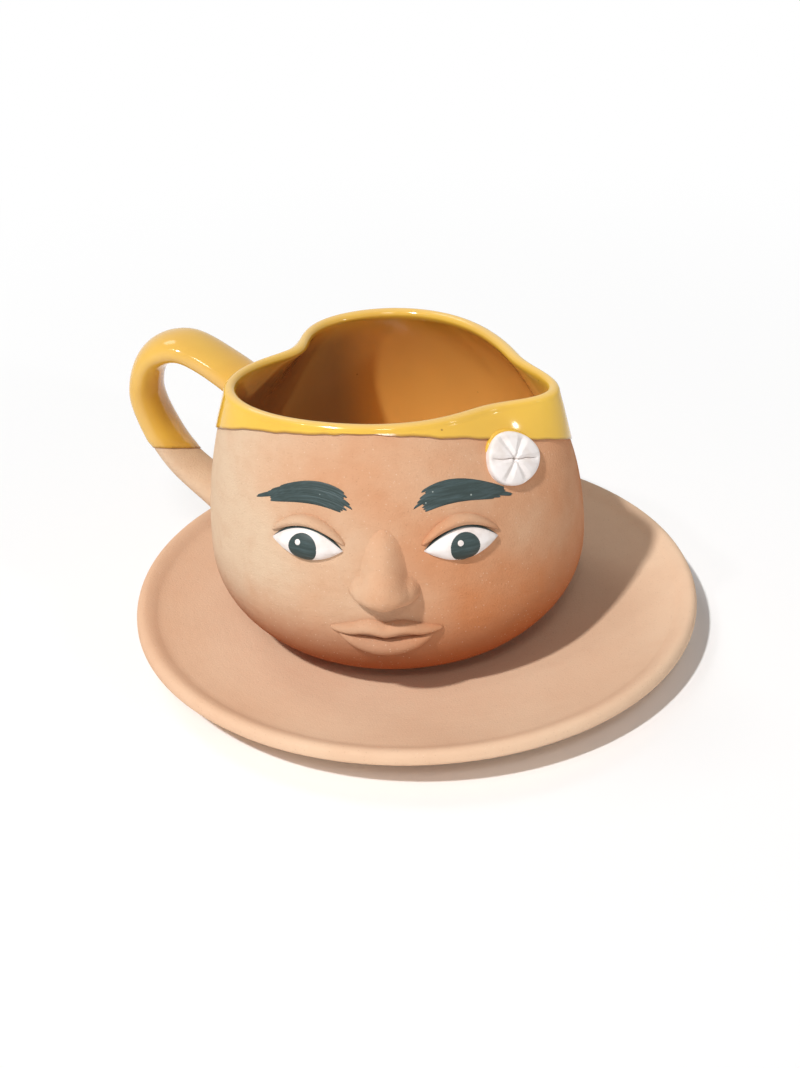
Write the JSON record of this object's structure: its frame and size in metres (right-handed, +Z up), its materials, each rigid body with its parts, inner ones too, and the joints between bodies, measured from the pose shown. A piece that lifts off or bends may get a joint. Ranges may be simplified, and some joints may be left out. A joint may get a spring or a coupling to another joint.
{
  "type": "clay cup and saucer",
  "caption": "Round hand-thrown clay cup with a pinched mouth, strap handle, dipped glaze and a calm relief face, on a matching saucer it lifts off.",
  "frame": {"origin": "middle of the saucer's underside, on the surface it stands on", "axes": "+Z up, -Y the way the cup's face looks, so the handle is on the -X side"},
  "size_m": [0.145, 0.145, 0.0782],
  "materials": {
    "bare_clay": "matte",
    "yellow_glaze": "gloss",
    "white_slip": "satin"
  },
  "bodies": {
    "saucer": {"saucer": "bare_clay"},
    "cup": {"bowl": "bare_clay", "handle": "bare_clay", "glaze_coat": "yellow_glaze", "rosette": "white_slip", "nose": "bare_clay", "upper_lip": "bare_clay", "lower_lip": "bare_clay", "left_eye": "white_slip", "left_eyelid": "bare_clay", "right_eye": "white_slip", "right_eyelid": "bare_clay"}
  },
  "joints": [
    {"name": "cup_lift", "type": "slide", "parent": "saucer", "child": "cup", "axis": [0, 0, 1], "range_m": [0, 0.1]}
  ]
}
